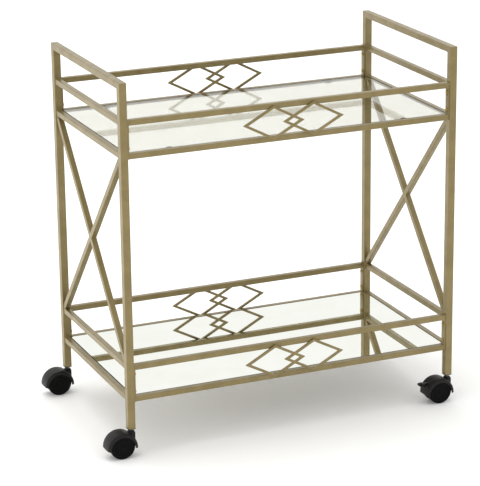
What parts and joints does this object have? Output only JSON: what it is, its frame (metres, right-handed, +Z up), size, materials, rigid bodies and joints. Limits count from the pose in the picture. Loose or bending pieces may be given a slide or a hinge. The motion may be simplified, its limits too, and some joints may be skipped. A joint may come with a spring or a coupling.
{
  "type": "bar cart",
  "caption": "Two-tier metal bar cart with a glass upper shelf, a mirror lower shelf, X-braced ends, diamond motifs and swivel casters.",
  "frame": {"origin": "on the floor, midway between the axles of the four casters, which trail 22 mm behind the posts at rest", "axes": "+X along the cart from the left end frame to the right one, +Y from the front to the rear, +Z up"},
  "size_m": [0.7472, 0.4064, 0.735],
  "materials": {
    "gold_paint": "satin champagne gold",
    "gold_screw": "satin champagne gold",
    "clear_glass": "clear",
    "mirror": "polished",
    "soft_pad": "matt",
    "steel": "dull",
    "wheel_plastic": "moulded",
    "black_plastic": "moulded satin"
  },
  "bodies": {
    "frame": {"brace_half_lower_left": "gold_paint", "brace_half_lower_right": "gold_paint", "brace_half_upper_left": "gold_paint", "brace_half_upper_right": "gold_paint", "brace_whole_left": "gold_paint", "brace_whole_right": "gold_paint", "caster_stems": "steel", "diamond_motif_lower_front": "gold_paint", "diamond_motif_lower_rear": "gold_paint", "diamond_motif_upper_front": "gold_paint", "diamond_motif_upper_rear": "gold_paint", "glass_shelf": "clear_glass", "handle_bar_left": "gold_paint", "handle_bar_right": "gold_paint", "long_guard_rail_lower_front": "gold_paint", "long_guard_rail_lower_rear": "gold_paint", "long_guard_rail_upper_front": "gold_paint", "long_guard_rail_upper_rear": "gold_paint", "long_shelf_rail_lower_front": "gold_paint", "long_shelf_rail_lower_rear": "gold_paint", "long_shelf_rail_upper_front": "gold_paint", "long_shelf_rail_upper_rear": "gold_paint", "mirror_shelf": "mirror", "panel_end_plates": "gold_paint", "panel_screws": "gold_screw", "post_front_left": "gold_paint", "post_front_right": "gold_paint", "post_plugs": "black_plastic", "post_rear_left": "gold_paint", "post_rear_right": "gold_paint", "shelf_pads": "soft_pad", "shelf_tabs": "gold_paint", "side_guard_rail_lower_left": "gold_paint", "side_guard_rail_lower_right": "gold_paint", "side_guard_rail_upper_left": "gold_paint", "side_guard_rail_upper_right": "gold_paint", "side_shelf_rail_lower_left": "gold_paint", "side_shelf_rail_lower_right": "gold_paint", "side_shelf_rail_upper_left": "gold_paint", "side_shelf_rail_upper_right": "gold_paint"},
    "caster_front_left": {"caster_body_front_left": "black_plastic", "caster_axle_front_left": "steel"},
    "front_wheel_front_left": {"caster_front_wheel_front_left": "wheel_plastic"},
    "rear_wheel_front_left": {"caster_rear_wheel_front_left": "wheel_plastic"},
    "caster_front_right": {"caster_body_front_right": "black_plastic", "caster_axle_front_right": "steel", "brake_pin_front_right": "steel"},
    "front_wheel_front_right": {"caster_front_wheel_front_right": "wheel_plastic"},
    "rear_wheel_front_right": {"caster_rear_wheel_front_right": "wheel_plastic"},
    "brake_lever_front_right": {"brake_lever_front_right": "black_plastic"},
    "caster_rear_left": {"caster_body_rear_left": "black_plastic", "caster_axle_rear_left": "steel"},
    "front_wheel_rear_left": {"caster_front_wheel_rear_left": "wheel_plastic"},
    "rear_wheel_rear_left": {"caster_rear_wheel_rear_left": "wheel_plastic"},
    "caster_rear_right": {"caster_body_rear_right": "black_plastic", "caster_axle_rear_right": "steel", "brake_pin_rear_right": "steel"},
    "front_wheel_rear_right": {"caster_front_wheel_rear_right": "wheel_plastic"},
    "rear_wheel_rear_right": {"caster_rear_wheel_rear_right": "wheel_plastic"},
    "brake_lever_rear_right": {"brake_lever_rear_right": "black_plastic"}
  },
  "joints": [
    {"name": "swivel_front_left", "type": "hinge", "parent": "frame", "child": "caster_front_left", "pos_m": [-0.3205, -0.185, 0.04], "axis": [0, 0, 1], "continuous": true},
    {"name": "roll_front_wheel_front_left", "type": "hinge", "parent": "caster_front_left", "child": "front_wheel_front_left", "pos_m": [-0.3425, -0.185, 0.025], "axis": [0, 1, 0], "continuous": true},
    {"name": "roll_rear_wheel_front_left", "type": "hinge", "parent": "caster_front_left", "child": "rear_wheel_front_left", "pos_m": [-0.3425, -0.185, 0.025], "axis": [0, 1, 0], "continuous": true},
    {"name": "swivel_front_right", "type": "hinge", "parent": "frame", "child": "caster_front_right", "pos_m": [0.3645, -0.185, 0.04], "axis": [0, 0, 1], "continuous": true},
    {"name": "roll_front_wheel_front_right", "type": "hinge", "parent": "caster_front_right", "child": "front_wheel_front_right", "pos_m": [0.3425, -0.185, 0.025], "axis": [0, 1, 0], "continuous": true},
    {"name": "roll_rear_wheel_front_right", "type": "hinge", "parent": "caster_front_right", "child": "rear_wheel_front_right", "pos_m": [0.3425, -0.185, 0.025], "axis": [0, 1, 0], "continuous": true},
    {"name": "brake_front_right", "type": "hinge", "parent": "caster_front_right", "child": "brake_lever_front_right", "pos_m": [0.33297, -0.185, 0.04292], "axis": [0, -1, 0], "range_deg": [0, 14]},
    {"name": "swivel_rear_left", "type": "hinge", "parent": "frame", "child": "caster_rear_left", "pos_m": [-0.3205, 0.185, 0.04], "axis": [0, 0, 1], "continuous": true},
    {"name": "roll_front_wheel_rear_left", "type": "hinge", "parent": "caster_rear_left", "child": "front_wheel_rear_left", "pos_m": [-0.3425, 0.185, 0.025], "axis": [0, 1, 0], "continuous": true},
    {"name": "roll_rear_wheel_rear_left", "type": "hinge", "parent": "caster_rear_left", "child": "rear_wheel_rear_left", "pos_m": [-0.3425, 0.185, 0.025], "axis": [0, 1, 0], "continuous": true},
    {"name": "swivel_rear_right", "type": "hinge", "parent": "frame", "child": "caster_rear_right", "pos_m": [0.3645, 0.185, 0.04], "axis": [0, 0, 1], "continuous": true},
    {"name": "roll_front_wheel_rear_right", "type": "hinge", "parent": "caster_rear_right", "child": "front_wheel_rear_right", "pos_m": [0.3425, 0.185, 0.025], "axis": [0, 1, 0], "continuous": true},
    {"name": "roll_rear_wheel_rear_right", "type": "hinge", "parent": "caster_rear_right", "child": "rear_wheel_rear_right", "pos_m": [0.3425, 0.185, 0.025], "axis": [0, 1, 0], "continuous": true},
    {"name": "brake_rear_right", "type": "hinge", "parent": "caster_rear_right", "child": "brake_lever_rear_right", "pos_m": [0.33297, 0.185, 0.04292], "axis": [0, -1, 0], "range_deg": [0, 14]}
  ]
}
